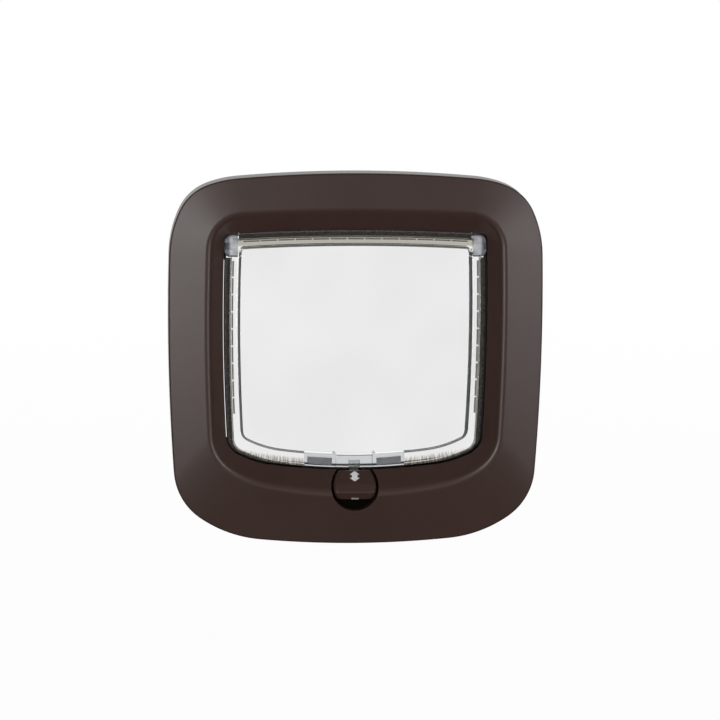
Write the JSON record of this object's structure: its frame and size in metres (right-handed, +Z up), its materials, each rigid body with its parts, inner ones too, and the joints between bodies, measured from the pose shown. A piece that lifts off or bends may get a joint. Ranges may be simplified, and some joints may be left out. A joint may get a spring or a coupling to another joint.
{
  "type": "cat flap",
  "caption": "Manual cat flap for a door: moulded brown frames, a clear swinging flap with a pile seal and a sliding latch.",
  "frame": {"origin": "centre of the four-screw pattern, on the plane where the interior frame seats on the door", "axes": "+Z up, +Y out through the door towards the garden, so the indoor face looks along -Y; +X to the right seen from indoors"},
  "size_m": [0.235, 0.0381, 0.235],
  "materials": {
    "brown_plastic": "fine satin texture",
    "black_plastic": "plain",
    "clear_plastic": "clear, polished",
    "seal_pile": "short woven pile",
    "magnet_grey": "ground, matt",
    "bright_steel": "bright zinc"
  },
  "bodies": {
    "frame": {"interior_frame": "brown_plastic", "latch_housing": "brown_plastic", "cutout_liner": "brown_plastic", "exterior_frame": "brown_plastic", "frame_screws": "bright_steel", "frame_magnet_left": "magnet_grey", "frame_magnet_right": "magnet_grey", "hinge_pin_left": "bright_steel", "hinge_pin_right": "bright_steel", "latch_keeper": "black_plastic", "keeper_screws": "bright_steel", "latch_spring": "bright_steel"},
    "flap": {"flap_rim": "clear_plastic", "flap_pane": "clear_plastic", "catch_block": "clear_plastic", "magnet_pod_left": "clear_plastic", "magnet_pod_right": "clear_plastic", "flap_magnet_left": "magnet_grey", "flap_magnet_right": "magnet_grey", "brush_strip_top": "seal_pile", "brush_strip_left": "seal_pile", "brush_strip_right": "seal_pile", "hinge_cap_left": "clear_plastic", "hinge_cap_right": "clear_plastic"},
    "latch": {"latch_slider": "brown_plastic"}
  },
  "joints": [
    {"name": "flap_swing", "type": "hinge", "parent": "frame", "child": "flap", "pos_m": [0, -0.00575, 0.0705], "axis": [1, 0, 0], "range_deg": [-80, 80]},
    {"name": "latch_slide", "type": "slide", "parent": "frame", "child": "latch", "axis": [0, 0, 1], "range_m": [0, 0.005]}
  ]
}
